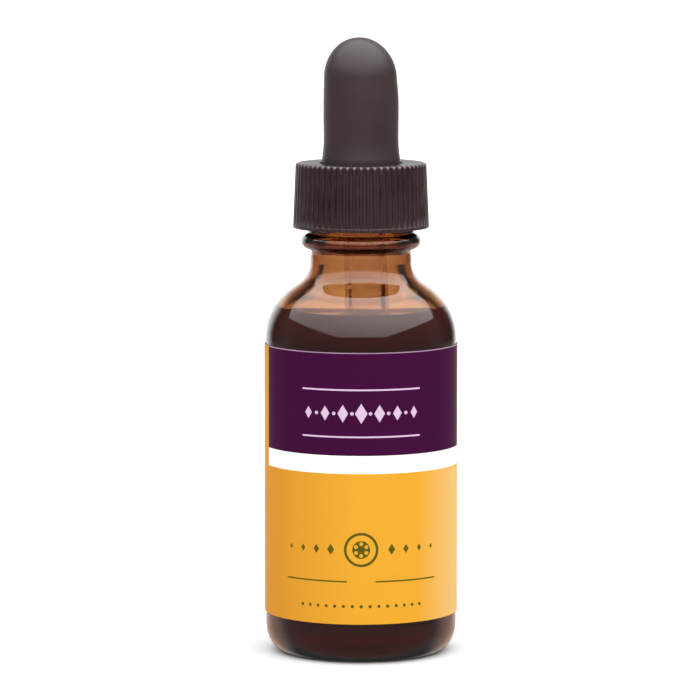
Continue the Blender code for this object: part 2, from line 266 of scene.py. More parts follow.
# Amber soda-lime glass, blown: clear gloss with a deep orange-brown body colour where it is thick.
# Below the extract's level the inner wall bends light less, because the extract wets it.
amber_glass = new_material("amber_soda_lime_glass")
places = add(amber_glass, "ShaderNodeTexCoord").outputs["Object"]
heights = add(amber_glass, "ShaderNodeSeparateXYZ", {"Vector": places}).outputs["Z"]
flat_places = add(
    amber_glass, "ShaderNodeVectorMath", {0: places, 1: (1, 1, 0)}, operation="MULTIPLY"
)
glass_reach = add(
    amber_glass, "ShaderNodeVectorMath", {0: flat_places.outputs[0]}, operation="LENGTH"
)
inner_side = add(
    amber_glass,
    "ShaderNodeMath",
    {0: glass_reach.outputs["Value"], 1: (BODY_RADIUS - WALL + 0.45) * MM},
    operation="LESS_THAN",
)
above_floor = add(
    amber_glass, "ShaderNodeMath", {0: heights, 1: (FLOOR_HEIGHT - 0.3) * MM}, operation="GREATER_THAN"
)
below_level = add(
    amber_glass, "ShaderNodeMath", {0: heights, 1: WETTED_HEIGHT * MM}, operation="LESS_THAN"
)
inside_wall = add(
    amber_glass,
    "ShaderNodeMath",
    {0: inner_side.outputs[0], 1: above_floor.outputs[0]},
    operation="MULTIPLY",
)
wetted = add(
    amber_glass,
    "ShaderNodeMath",
    {0: inside_wall.outputs[0], 1: below_level.outputs[0]},
    operation="MULTIPLY",
)
glass_ior = add(
    amber_glass,
    "ShaderNodeMapRange",
    {"Value": wetted.outputs[0], "To Min": GLASS_IOR, "To Max": GLASS_IOR / EXTRACT_IOR},
)
# Noise scales are in grains for each mm: the blown wall has faint waves of about 11 mm
waves = add(amber_glass, "ShaderNodeTexNoise", {"Vector": places, "Scale": 0.09 / MM, "Detail": 1.0})
wavy = add(
    amber_glass,
    "ShaderNodeBump",
    {"Height": waves.outputs["Fac"], "Distance": 0.12 * MM, "Strength": 0.5},
)
glass_shader = add(
    amber_glass,
    "ShaderNodeBsdfPrincipled",
    {
        "Base Color": (1, 1, 1, 1),
        "Roughness": 0.015,
        "IOR": glass_ior.outputs["Result"],
        "Transmission Weight": 1.0,
        "Normal": wavy.outputs["Normal"],
    },
)
amber_depth = add(
    amber_glass,
    "ShaderNodeVolumeAbsorption",
    {"Color": AMBER_TINT, "Density": AMBER_DENSITY},
)
add(
    amber_glass,
    "ShaderNodeOutputMaterial",
    {"Surface": glass_shader.outputs["BSDF"], "Volume": amber_depth.outputs["Volume"]},
)
bottle.data.materials.append(amber_glass)
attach(bottle, "bottle")
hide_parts("bottle")

# Pipette: a clear glass tube of a good 7 mm, cut to length, with its top fire-polished and its tip
# drawn narrow in a flame. The bulb's foot grips it a little askew, and it reaches almost to the floor
# of the bottle.
pipette_low, pipette_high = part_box("pipette")
PIPETTE_RADIUS = pipette_high.y / MM
PIPETTE_BORE = 2.65
PIPETTE_TIP = pipette_low.z / MM
PIPETTE_TOP = pipette_high.z / MM
PIPETTE_TIP_RADIUS = 1.45
PIPETTE_TIP_BORE = 0.7
PIPETTE_TAPER_TOP = 15.0
PIPETTE_BEND = (3.25, 12.8)
PIPETTE_HOLD = 84.5
PIPETTE_LEAN = math.radians(2.35)
FILM_TINT = (0.65, 0.3, 0.25, 1)
FILM_DENSITY = 200.0

tube_wall = PIPETTE_RADIUS - PIPETTE_BORE
tip_wall = PIPETTE_TIP_RADIUS - PIPETTE_TIP_BORE
tip_round = tip_wall / 2
top_round = tube_wall / 2
tube = arc(
    PIPETTE_TIP_BORE + tip_round, PIPETTE_TIP + tip_round, tip_round, tip_round, 200, 360, 8
)
tube += straight(tube[-1], PIPETTE_BEND, 6)
tube += [(PIPETTE_RADIUS - 0.06, PIPETTE_TAPER_TOP - 0.9), (PIPETTE_RADIUS, PIPETTE_TAPER_TOP)]
tube += straight(tube[-1], (PIPETTE_RADIUS, PIPETTE_TOP - top_round), 12)
tube += arc(PIPETTE_BORE + top_round, PIPETTE_TOP - top_round, top_round, top_round, 10, 180, 10)
tube += straight(tube[-1], (PIPETTE_BORE, PIPETTE_TAPER_TOP), 12)
tube += straight(tube[-1], (PIPETTE_BEND[0] - tube_wall, PIPETTE_BEND[1]), 3)
tube += straight(tube[-1], (PIPETTE_TIP_BORE, PIPETTE_TIP + tip_round + 0.2), 6)
pipette = turned("glass_pipette", tube, 96, ring=True)
for corner in pipette.data.vertices:
    corner.co.x += (PIPETTE_HOLD * MM - corner.co.z) * math.tan(PIPETTE_LEAN)

# Clear drawn glass: water-white, but the film of extract left inside tints it brown.
clear_glass = new_material("clear_drawn_glass")
clear_shader = add(
    clear_glass,
    "ShaderNodeBsdfPrincipled",
    {"Base Color": (1, 1, 1, 1), "Roughness": 0.01, "IOR": 1.5, "Transmission Weight": 1.0},
)
wet_film = add(
    clear_glass, "ShaderNodeVolumeAbsorption", {"Color": FILM_TINT, "Density": FILM_DENSITY}
)
add(
    clear_glass,
    "ShaderNodeOutputMaterial",
    {"Surface": clear_shader.outputs["BSDF"], "Volume": wet_film.outputs["Volume"]},
)
pipette.data.materials.append(clear_glass)
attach(pipette, "dropper")
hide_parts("pipette")

# Extract: about 30 ml of dark brown plant extract in alcohol and water. It wets the glass, so its
# surface climbs a little where it meets the wall and the pipette.
WETTING = 0.04
MENISCUS_REACH = 0.6
EXTRACT_COLOUR = 0xFC5A46
EXTRACT_TINT = (0.72, 0.35, 0.15, 1)
EXTRACT_DENSITY = 2200.0

fill_turn = math.degrees(math.asin(wetted_rise / (INNER_SHOULDER_RADIUS + WETTING)))
poured = [(0, FLOOR_HEIGHT - WETTING)]
poured += arc(*floor_centre, FLOOR_CORNER + WETTING, FLOOR_CORNER + WETTING, -90, 0, 16)
fill_radius = INNER_SHOULDER_RADIUS + WETTING
poured += arc(inner_centre, INNER_SHOULDER_START, fill_radius, fill_radius, 0, fill_turn, 8)
wall_edge = poured[-1][0]
tube_edge = PIPETTE_RADIUS - WETTING
for step in range(1, 41):
    radius = wall_edge + (tube_edge - wall_edge) * step / 40
    nearest = min(wall_edge - radius, radius - tube_edge)
    climb = MENISCUS_RISE * math.exp(-nearest / MENISCUS_REACH)
    poured.append((radius, FILL_HEIGHT + climb))
poured += [
    (tube_edge, PIPETTE_TAPER_TOP),
    (PIPETTE_BEND[0] - WETTING, PIPETTE_BEND[1]),
    (PIPETTE_TIP_RADIUS - WETTING, PIPETTE_TIP + 0.1),
    (0, PIPETTE_TIP + 0.1),
]
extract = turned("extract", poured, 192)
# The hole follows the leaning pipette, and the surface between it and the wall shifts less and less
for corner in extract.data.vertices:
    from_middle = math.hypot(corner.co.x, corner.co.y) / MM
    round_tube = from_middle <= tube_edge + 0.01 and corner.co.z > (PIPETTE_TIP + 0.05) * MM
    if round_tube or corner.co.z > FILL_HEIGHT * MM:
        share = max(0, min(1, (wall_edge - from_middle) / (wall_edge - tube_edge)))
        corner.co.x += share * (PIPETTE_HOLD * MM - corner.co.z) * math.tan(PIPETTE_LEAN)

# Dark extract: clear to the eye in a drop, and almost black through the width of the bottle.
dark_extract = new_material("dark_extract")
in_extract = add(dark_extract, "ShaderNodeTexCoord").outputs["Object"]
level = add(dark_extract, "ShaderNodeSeparateXYZ", {"Vector": in_extract}).outputs["Z"]
flat_extract = add(
    dark_extract, "ShaderNodeVectorMath", {0: in_extract, 1: (1, 1, 0)}, operation="MULTIPLY"
)
extract_reach = add(
    dark_extract, "ShaderNodeVectorMath", {0: flat_extract.outputs[0]}, operation="LENGTH"
)
off_wall = add(
    dark_extract,
    "ShaderNodeMath",
    {0: extract_reach.outputs["Value"], 1: (wall_edge - 0.01) * MM},
    operation="LESS_THAN",
)
at_top = add(
    dark_extract, "ShaderNodeMath", {0: level, 1: (FILL_HEIGHT - 0.05) * MM}, operation="GREATER_THAN"
)
free_surface = add(
    dark_extract,
    "ShaderNodeMath",
    {0: off_wall.outputs[0], 1: at_top.outputs[0]},
    operation="MULTIPLY",
)
extract_ior = add(
    dark_extract,
    "ShaderNodeMapRange",
    {"Value": free_surface.outputs[0], "To Min": 1.0, "To Max": EXTRACT_IOR},
)
extract_shader = add(
    dark_extract,
    "ShaderNodeBsdfPrincipled",
    {
        "Base Color": linear(EXTRACT_COLOUR),
        "Roughness": 0.0,
        "IOR": extract_ior.outputs["Result"],
        "Transmission Weight": 0.86,
    },
)
extract_depth = add(
    dark_extract,
    "ShaderNodeVolumeAbsorption",
    {"Color": EXTRACT_TINT, "Density": EXTRACT_DENSITY},
)
add(
    dark_extract,
    "ShaderNodeOutputMaterial",
    {"Surface": extract_shader.outputs["BSDF"], "Volume": extract_depth.outputs["Volume"]},
)
extract.data.materials.append(dark_extract)
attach(extract, "bottle")
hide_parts("liquid")

# Label: one strip of varnished white film, printed gold all round with a dark purple panel and a white
# band on the front. It is wrapped on by machine, and its ends leave a narrow seam at the back.
label_low, label_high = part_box("label")
LABEL_BOTTOM = label_low.z / MM
LABEL_TOP = label_high.z / MM
LABEL_INNER = BODY_RADIUS + 0.045
LABEL_OUTER = BODY_RADIUS + 0.16
LABEL_SEAM = 1.6
LABEL_COLUMNS = 320
LABEL_CORNER = 1.0
PANEL_LEFT = math.radians(-72)
PANEL_RIGHT = math.radians(83)
BAND_BOTTOM = 32.4
BAND_TOP = 35.45
GOLD = 0xC48C28
# Painted shade for the gold's left side, then a painted highlight for its right side
GOLD_PAINTED_SHADE = 0xB87D24
GOLD_PAINTED_HIGHLIGHT = 0xC9A263
FILM_EDGE = 0x8E7488
PURPLE = 0x34082E
BAND_WHITE = 0xD9D7D1
PALE_INK = 0xB7A0B6
GREEN_INK = 0x4A4A12
HAIRLINE_HEIGHTS = (38.6, 46.5)
LOZENGE_HEIGHT = 42.55
LOZENGE_PITCH = 3.1
ROSETTE_HEIGHT = 19.6
RULE_HEIGHT = 14.2
RULE_MIDDLE = 8.2
DOT_HEIGHT = 10.0
DOT_PITCH = 1.5

strip = bmesh.new()
half_seam = LABEL_SEAM / 2 / LABEL_OUTER
levels = [0, 0.04, 0.15, 0.35, 0.65, 1.0]
rows = [LABEL_BOTTOM + level for level in levels]
rows += [LABEL_BOTTOM + (LABEL_TOP - LABEL_BOTTOM) * step / 12 for step in range(1, 12)]
rows += [LABEL_TOP - level for level in reversed(levels)]
sheets = []
for radius in (LABEL_OUTER, LABEL_INNER):
    sheet = []
    for row in rows:
        # The die rounds the strip's corners
        to_edge = min(row - LABEL_BOTTOM, LABEL_TOP - row)
        cut = max(0, LABEL_CORNER - to_edge)
        inset = LABEL_CORNER - math.sqrt(LABEL_CORNER**2 - cut**2)
        start = TURN / 4 + half_seam + inset / LABEL_OUTER
        span = TURN - 2 * (half_seam + inset / LABEL_OUTER)
        line = []
        for column in range(LABEL_COLUMNS + 1):
            angle = start + span * column / LABEL_COLUMNS
            place = (radius * MM * math.cos(angle), radius * MM * math.sin(angle), row * MM)
            line.append(strip.verts.new(place))
        sheet.append(line)
    sheets.append(sheet)
outer_sheet, inner_sheet = sheets
for row in range(len(rows) - 1):
    for column in range(LABEL_COLUMNS):
        strip.faces.new(
            (
                outer_sheet[row][column],
                outer_sheet[row][column + 1],
                outer_sheet[row + 1][column + 1],
                outer_sheet[row + 1][column],
            )
        )
        strip.faces.new(
            (
                inner_sheet[row][column],
                inner_sheet[row + 1][column],
                inner_sheet[row + 1][column + 1],
                inner_sheet[row][column + 1],
            )
        )
    for column, flip in ((0, 1), (LABEL_COLUMNS, -1)):
        corners = [
            outer_sheet[row][column],
            outer_sheet[row + 1][column],
            inner_sheet[row + 1][column],
            inner_sheet[row][column],
        ]
        strip.faces.new(corners[::flip])
for row, flip in ((0, 1), (len(rows) - 1, -1)):
    for column in range(LABEL_COLUMNS):
        corners = [
            outer_sheet[row][column],
            inner_sheet[row][column],
            inner_sheet[row][column + 1],
            outer_sheet[row][column + 1],
        ]
        strip.faces.new(corners[::flip])
label_mesh = bpy.data.meshes.new("wrap_label")
strip.to_mesh(label_mesh)
strip.free()
label = placed("wrap_label", label_mesh)
label_mesh.set_sharp_from_angle(angle=math.radians(40))

# Varnished label film: flat print under a soft, even gloss.
label_print = new_material("varnished_label_print")
on_label = add(label_print, "ShaderNodeTexCoord").outputs["Object"]
label_axes = add(label_print, "ShaderNodeSeparateXYZ", {"Vector": on_label})
to_front = add(
    label_print, "ShaderNodeMath", {0: label_axes.outputs["Y"], 1: -1.0}, operation="MULTIPLY"
)
angle_across = add(
    label_print,
    "ShaderNodeMath",
    {0: label_axes.outputs["X"], 1: to_front.outputs[0]},
    operation="ARCTAN2",
)
across = add(
    label_print, "ShaderNodeMath", {0: angle_across.outputs[0], 1: LABEL_OUTER}, operation="MULTIPLY"
).outputs[0]
up = add(
    label_print, "ShaderNodeMath", {0: label_axes.outputs["Z"], 1: 1 / MM}, operation="MULTIPLY"
).outputs[0]


def printed(ground, ink, centre, half, squareness):
    """Prints a shape over the ground. Squareness 1 gives a lozenge, 2 an oval and a high one a bar."""
    parts = []
    for along, middle, reach in ((across, centre[0], half[0]), (up, centre[1], half[1])):
        off = add(label_print, "ShaderNodeMath", {0: along, 1: middle}, operation="SUBTRACT")
        size = add(label_print, "ShaderNodeMath", {0: off.outputs[0]}, operation="ABSOLUTE")
        share = add(label_print, "ShaderNodeMath", {0: size.outputs[0], 1: reach}, operation="DIVIDE")
        part = add(label_print, "ShaderNodeMath", {0: share.outputs[0], 1: squareness}, operation="POWER")
        parts.append(part.outputs[0])
    total = add(label_print, "ShaderNodeMath", {0: parts[0], 1: parts[1]}, operation="ADD")
    inside = add(label_print, "ShaderNodeMath", {0: total.outputs[0], 1: 1.0}, operation="LESS_THAN")
    mixed = add(
        label_print,
        "ShaderNodeMix",
        {"Factor": inside.outputs[0], "A": ground, "B": linear(ink)},
        data_type="RGBA",
    )
    return mixed.outputs["Result"]


front_panel = add(
    label_print,
    "ShaderNodeMapRange",
    {"Value": angle_across.outputs[0], "From Min": PANEL_LEFT, "From Max": PANEL_LEFT + 0.002},
)
panel_end = add(
    label_print,
    "ShaderNodeMapRange",
    {"Value": angle_across.outputs[0], "From Min": PANEL_RIGHT, "From Max": PANEL_RIGHT + 0.002},
)
on_panel = add(
    label_print,
    "ShaderNodeMath",
    {0: front_panel.outputs["Result"], 1: panel_end.outputs["Result"]},
    operation="SUBTRACT",
)
# The gold carries painted shade on the bottle's left side and a painted highlight on its right, blended
# round the bottle, and is plain at the front and the back. Places run from 0 at the back, over 0.5 at
# the front, to 1 at the back.
fade = add(
    label_print,
    "ShaderNodeMapRange",
    {"Value": angle_across.outputs[0], "From Min": -math.pi, "From Max": math.pi},
)
gold_shading = add(label_print, "ShaderNodeValToRGB", {"Fac": fade.outputs["Result"]})
gold_shading.color_ramp.elements[0].color = linear(GOLD)
gold_shading.color_ramp.elements[1].color = linear(GOLD)
for place, colour in (
    (0.08, GOLD),
    (0.24, GOLD_PAINTED_SHADE),
    (0.342, GOLD_PAINTED_SHADE),
    (0.492, GOLD),
    (0.598, GOLD),
    (0.697, GOLD_PAINTED_HIGHLIGHT),
    (0.76, GOLD_PAINTED_HIGHLIGHT),
    (0.92, GOLD),
):
    gold_shading.color_ramp.elements.new(place).color = linear(colour)
ink = gold_shading.outputs["Color"]
for colour, floor_height in ((BAND_WHITE, BAND_BOTTOM), (PURPLE, BAND_TOP)):
    above = add(label_print, "ShaderNodeMath", {0: up, 1: floor_height}, operation="GREATER_THAN")
    here = add(
        label_print,
        "ShaderNodeMath",
        {0: above.outputs[0], 1: on_panel.outputs[0]},
        operation="MULTIPLY",
    )
    ink = add(
        label_print,
        "ShaderNodeMix",
        {"Factor": here.outputs[0], "A": ink, "B": linear(colour)},
        data_type="RGBA",
    ).outputs["Result"]

# The film's cut edge shows as a thin pale line
edge_line = add(label_print, "ShaderNodeMath", {0: up, 1: LABEL_TOP - 0.16}, operation="GREATER_THAN")
ink = add(
    label_print,
    "ShaderNodeMix",
    {"Factor": edge_line.outputs[0], "A": ink, "B": linear(FILM_EDGE)},
    data_type="RGBA",
).outputs["Result"]
# On the purple, hairlines of 0.28 mm over and under a row of lozenges with dots between them
for height in HAIRLINE_HEIGHTS:
    ink = printed(ink, PALE_INK, (0, height), (10.5, 0.14), 30)
for place in range(-3, 4):
    size = 1.7 - 0.22 * abs(place)
    ink = printed(ink, PALE_INK, (place * LOZENGE_PITCH, LOZENGE_HEIGHT), (size * 0.62, size), 1)
for place in range(-3, 3):
    ink = printed(ink, PALE_INK, ((place + 0.5) * LOZENGE_PITCH, LOZENGE_HEIGHT), (0.3, 0.3), 2)
# On the gold, a small rosette between shrinking lozenges, over two rules and a row of dots
for side in (-1, 1):
    ink = printed(ink, GREEN_INK, (side * RULE_MIDDLE, RULE_HEIGHT), (5.8, 0.13), 30)
    for place in range(4):
        centre = (side * (5.2 + 2.6 * place), ROSETTE_HEIGHT)
        ink = printed(ink, GREEN_INK, centre, (0.62 - 0.1 * place, 0.95 - 0.16 * place), 1)
for disc_ink, size in ((GREEN_INK, 2.9), (GOLD, 2.45), (GREEN_INK, 1.5)):
    ink = printed(ink, disc_ink, (0, ROSETTE_HEIGHT), (size, size), 2)
for petal in range(6):
    angle = petal * TURN / 6
    centre = (math.sin(angle), ROSETTE_HEIGHT + math.cos(angle))
    ink = printed(ink, GOLD, centre, (0.32, 0.32), 2)
for place in range(-7, 8):
    ink = printed(ink, GREEN_INK, (place * DOT_PITCH, DOT_HEIGHT), (0.28, 0.28), 2)

# The film's tooth is drawn coarser than the real one, at 0.4 mm
film_grain = add(
    label_print, "ShaderNodeTexNoise", {"Vector": on_label, "Scale": 2.5 / MM, "Detail": 2.0}
)
film_tooth = add(
    label_print,
    "ShaderNodeBump",
    {"Height": film_grain.outputs["Fac"], "Distance": 0.01 * MM, "Strength": 0.3},
)
label_shader = add(
    label_print,
    "ShaderNodeBsdfPrincipled",
    {
        "Base Color": ink,
        "Roughness": 0.42,
        "IOR": 1.48,
        "Specular IOR Level": 0.03,
        "Normal": film_tooth.outputs["Normal"],
    },
)
add(label_print, "ShaderNodeOutputMaterial", {"Surface": label_shader.outputs["BSDF"]})
label_mesh.materials.append(label_print)
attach(label, "bottle")
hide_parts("label")

# Collar: a screw collar moulded in black polypropylene, with sixty grip ribs over a plain rim, a flat
# top with a hole for the bulb, and most of a turn of thread inside.
collar_low, collar_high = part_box("collar")
COLLAR_BOTTOM = collar_low.z / MM
COLLAR_TOP = collar_high.z / MM
COLLAR_RIM = 11.55
COLLAR_RIM_HEIGHT = 0.6
COLLAR_RIM_ROUND = 0.15
COLLAR_BORE = 10.05
COLLAR_PANEL = 1.3
COLLAR_HOLE = 7.1
COLLAR_EDGE = 0.15
COLLAR_CHAMFER = 0.45
RIB_COUNT = 60
RIB_COLUMNS = 12
RIB_BOTTOM = 11.5
RIB_TOP = 11.08
RIB_DEPTH = 0.35
COLLAR_THREAD_RISE = 0.75
COLLAR_THREAD_TURNS = 0.85
COLLAR_BLACK = 0x1B0B0C
COLLAR_DUST = 0x2F1D1F
# A painted highlight for the rib edges
COLLAR_RIB_HIGHLIGHT = 0x463738
# A painted glint for the rib ends
COLLAR_END_GLINT = 0x5C5152
# Painted shade for the top round the bulb
COLLAR_TOP_SHADE = 0x0F0808


def collar_relief(angle, radius, height):
    """The valleys between the grip ribs, and the thread ridge on the inner wall."""
    in_bore = COLLAR_BOTTOM + 0.3 < height < COLLAR_TOP - COLLAR_PANEL - 0.1
    if in_bore and abs(radius - COLLAR_BORE) < 0.001:
        top = NECK_THREAD_TOP - THREAD_PITCH / 2
        return -COLLAR_THREAD_RISE * ridge(angle, height, top, COLLAR_THREAD_TURNS)
    if radius < RIB_TOP - RIB_DEPTH or height < COLLAR_BOTTOM + COLLAR_RIM_HEIGHT + 0.01:
        return 0
    crest = smooth(min(1, max(0, math.cos(RIB_COUNT * angle) / 0.7 + 0.5)))
    foot = min(1, (height - COLLAR_BOTTOM - COLLAR_RIM_HEIGHT) / 0.12)
    head = min(1, (COLLAR_TOP - height) / COLLAR_CHAMFER)
    return -RIB_DEPTH * (1 - crest) * foot * head


rim_top = COLLAR_BOTTOM + COLLAR_RIM_HEIGHT
panel_under = COLLAR_TOP - COLLAR_PANEL
rim_centre = (COLLAR_RIM - COLLAR_RIM_ROUND, COLLAR_BOTTOM + COLLAR_RIM_ROUND)
collar_outline = arc(*rim_centre, COLLAR_RIM_ROUND, COLLAR_RIM_ROUND, -90, 0, 4)
collar_outline += arc(COLLAR_RIM - 0.12, rim_top - 0.12, 0.12, 0.12, 0, 60, 4)
collar_outline += [(RIB_BOTTOM, rim_top + 0.06), (RIB_BOTTOM, rim_top + 0.14)]
collar_outline += straight(collar_outline[-1], (RIB_TOP, COLLAR_TOP - COLLAR_CHAMFER), 8)
head_centre = (RIB_TOP - COLLAR_CHAMFER, COLLAR_TOP - COLLAR_CHAMFER)
collar_outline += arc(*head_centre, COLLAR_CHAMFER, COLLAR_CHAMFER, 10, 90, 8)
collar_outline += straight(collar_outline[-1], (COLLAR_HOLE + COLLAR_EDGE, COLLAR_TOP), 3)
hole_centre = (COLLAR_HOLE + COLLAR_EDGE, COLLAR_TOP - COLLAR_EDGE)
collar_outline += arc(*hole_centre, COLLAR_EDGE, COLLAR_EDGE, 110, 180, 3)
collar_outline += [(COLLAR_HOLE, panel_under), (COLLAR_BORE, panel_under)]
collar_outline += straight(collar_outline[-1], (COLLAR_BORE, COLLAR_BOTTOM + COLLAR_EDGE), 36)
collar_outline += [(COLLAR_BORE + COLLAR_EDGE, COLLAR_BOTTOM)]
collar = turned("ribbed_collar", collar_outline, RIB_COUNT * RIB_COLUMNS, collar_relief, ring=True)
collar.data.set_sharp_from_angle(angle=math.radians(50))

# Moulded polypropylene: a warm black with a satin skin, dusty between the ribs, with painted highlight
# lines on the rib edges. The skin's grain is drawn coarser than the real one, at a third of a mm.
polypropylene = new_material("moulded_black_polypropylene")
on_collar = add(polypropylene, "ShaderNodeTexCoord").outputs["Object"]
skin = add(polypropylene, "ShaderNodeTexNoise", {"Vector": on_collar, "Scale": 3 / MM, "Detail": 3.0})
skin_bump = add(
    polypropylene,
    "ShaderNodeBump",
    {"Height": skin.outputs["Fac"], "Distance": 0.012 * MM, "Strength": 0.4},
)
smear = add(
    polypropylene, "ShaderNodeTexNoise", {"Vector": on_collar, "Scale": 0.16 / MM, "Detail": 3.0}
)
satin = add(
    polypropylene,
    "ShaderNodeMapRange",
    {"Value": smear.outputs["Fac"], "To Min": 0.34, "To Max": 0.46},
)
# The wave is 1 on a rib's crest and -1 in a valley, and 0 on the flat top
collar_axes = add(polypropylene, "ShaderNodeSeparateXYZ", {"Vector": on_collar})
way_round = add(
    polypropylene,
    "ShaderNodeMath",
    {0: collar_axes.outputs["Y"], 1: collar_axes.outputs["X"]},
    operation="ARCTAN2",
)
rib_phase = add(
    polypropylene, "ShaderNodeMath", {0: way_round.outputs[0], 1: RIB_COUNT}, operation="MULTIPLY"
)
rib_cosine = add(polypropylene, "ShaderNodeMath", {0: rib_phase.outputs[0]}, operation="COSINE")
flat_place = add(
    polypropylene, "ShaderNodeVectorMath", {0: on_collar, 1: (1, 1, 0)}, operation="MULTIPLY"
)
from_axis = add(
    polypropylene, "ShaderNodeVectorMath", {0: flat_place.outputs[0]}, operation="LENGTH"
)
on_wall = add(
    polypropylene,
    "ShaderNodeMapRange",
    {
        "Value": from_axis.outputs["Value"],
        "From Min": (RIB_TOP - 0.65) * MM,
        "From Max": (RIB_TOP - 0.45) * MM,
    },
)
rib_wave = add(
    polypropylene,
    "ShaderNodeMath",
    {0: rib_cosine.outputs[0], 1: on_wall.outputs["Result"]},
    operation="MULTIPLY",
)
dust = add(
    polypropylene,
    "ShaderNodeMath",
    {0: rib_wave.outputs[0], 1: -0.35, 2: smear.outputs["Fac"]},
    operation="MULTIPLY_ADD",
    use_clamp=True,
)
black = add(
    polypropylene,
    "ShaderNodeMix",
    {"Factor": dust.outputs[0], "A": linear(COLLAR_BLACK), "B": linear(COLLAR_DUST)},
    data_type="RGBA",
)
# Painted highlight lines on the two edges of each rib, broken up in patches, and painted glints on its
# upper end
off_edge = add(
    polypropylene, "ShaderNodeMath", {0: rib_wave.outputs[0], 1: 0.12}, operation="SUBTRACT"
)
from_edge = add(polypropylene, "ShaderNodeMath", {0: off_edge.outputs[0]}, operation="ABSOLUTE")
rib_edge = add(
    polypropylene,
    "ShaderNodeMapRange",
    {"Value": from_edge.outputs[0], "From Min": 0.28, "From Max": 0.05},
)
# A painted glint where each rib's crest meets the top chamfer
rib_end = add(
    polypropylene,
    "ShaderNodeMapRange",
    {
        "Value": collar_axes.outputs["Z"],
        "From Min": (COLLAR_TOP - 0.55) * MM,
        "From Max": (COLLAR_TOP - 0.3) * MM,
    },
)
on_crest = add(
    polypropylene,
    "ShaderNodeMapRange",
    {"Value": rib_wave.outputs[0], "From Min": 0.2, "From Max": 0.7},
)
end_glint = add(
    polypropylene,
    "ShaderNodeMath",
    {0: rib_end.outputs["Result"], 1: on_crest.outputs["Result"]},
    operation="MULTIPLY",
)
edge_patches = add(
    polypropylene, "ShaderNodeTexNoise", {"Vector": on_collar, "Scale": 0.42 / MM, "Detail": 2.0}
)
edge_patch_share = add(
    polypropylene,
    "ShaderNodeMapRange",
    {
        "Value": edge_patches.outputs["Fac"],
        "From Min": 0.35,
        "From Max": 0.65,
        "To Max": on_wall.outputs["Result"],
    },
)
edge_highlight_share = add(
    polypropylene,
    "ShaderNodeMath",
    {0: rib_edge.outputs["Result"], 1: edge_patch_share.outputs["Result"]},
    operation="MULTIPLY",
)
with_edge_highlights = add(
    polypropylene,
    "ShaderNodeMix",
    {"Factor": edge_highlight_share.outputs[0], "A": black.outputs["Result"], "B": linear(COLLAR_RIB_HIGHLIGHT)},
    data_type="RGBA",
)
with_end_glints = add(
    polypropylene,
    "ShaderNodeMix",
    {
        "Factor": end_glint.outputs[0],
        "A": with_edge_highlights.outputs["Result"],
        "B": linear(COLLAR_END_GLINT),
    },
    data_type="RGBA",
)
# Painted shade darkens the flat top round the bulb
top_shade = add(
    polypropylene,
    "ShaderNodeMapRange",
    {
        "Value": from_axis.outputs["Value"],
        "From Min": (RIB_TOP - 0.9) * MM,
        "From Max": (RIB_TOP - 2.2) * MM,
    },
)
collar_colour = add(
    polypropylene,
    "ShaderNodeMix",
    {
        "Factor": top_shade.outputs["Result"],
        "A": with_end_glints.outputs["Result"],
        "B": linear(COLLAR_TOP_SHADE),
    },
    data_type="RGBA",
)
collar_shader = add(
    polypropylene,
    "ShaderNodeBsdfPrincipled",
    {
        "Base Color": collar_colour.outputs["Result"],
        "Roughness": satin.outputs["Result"],
        "IOR": 1.49,
        "Specular IOR Level": 0.4,
        "Normal": skin_bump.outputs["Normal"],
    },
)
add(polypropylene, "ShaderNodeOutputMaterial", {"Surface": collar_shader.outputs["BSDF"]})
collar.data.materials.append(polypropylene)
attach(collar, "collar")
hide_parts("collar")

# Bulb: moulded black rubber, soft enough to squeeze between finger and thumb. The collar clamps its
# flange on the bottle's lip, its foot grips the pipette, and the hollow above holds air to draw with.
bulb_low, bulb_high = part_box("bulb")
BULB_TOP = bulb_high.z / MM
BULB_RADIUS = 6.38
BULB_DOME_RADIUS = 6.18
BULB_WAIST = 6.34
BULB_FOOT = 6.62
BULB_FLANGE = bulb_high.y / MM
BULB_WALL = 1.4
BULB_DOME_START = 97.6
BULB_LEAN_START = 94.0
BULB_LEAN = 0.028
BULB_GRIP_TOP = 88.6
BULB_FOOT_TOP = 84.0
BULB_WAIST_TOP = 88.0
BULB_EASE = 3.4
BULB_FULL_TOP = 93.5
FLANGE_TOP = 81.7
FLANGE_ROUND = 0.2
BULB_BLACK = 0x251819
BULB_BLOOM = 0x2C1F20

grip = PIPETTE_RADIUS + 0.3
cavity = BULB_DOME_RADIUS - BULB_WALL
dome_rise = BULB_TOP - BULB_DOME_START
flange_bottom = bulb_low.z / MM
flange_edge = BULB_FLANGE - FLANGE_ROUND
bulb_outline = [(grip, flange_bottom), (flange_edge, flange_bottom)]
bulb_outline += arc(flange_edge, flange_bottom + FLANGE_ROUND, FLANGE_ROUND, FLANGE_ROUND, -60, 0, 3)
bulb_outline += arc(flange_edge, FLANGE_TOP - FLANGE_ROUND, FLANGE_ROUND, FLANGE_ROUND, 0, 90, 4)
bulb_outline += [(BULB_FOOT + 0.1, FLANGE_TOP), (BULB_FOOT, FLANGE_TOP + 0.1)]
bulb_outline += straight(bulb_outline[-1], (BULB_FOOT, BULB_FOOT_TOP), 3)
for step in range(1, 13):
    share = step / 12
    radius = BULB_FOOT + (BULB_WAIST - BULB_FOOT) * (1 - (1 - share) ** 2)
    bulb_outline.append((radius, BULB_FOOT_TOP + BULB_EASE * share))
for step in range(1, 9):
    share = step / 8
    radius = BULB_WAIST + (BULB_RADIUS - BULB_WAIST) * smooth(share)
    bulb_outline.append((radius, BULB_WAIST_TOP + BULB_EASE * share))
bulb_outline += straight(bulb_outline[-1], (BULB_RADIUS, BULB_FULL_TOP), 3)
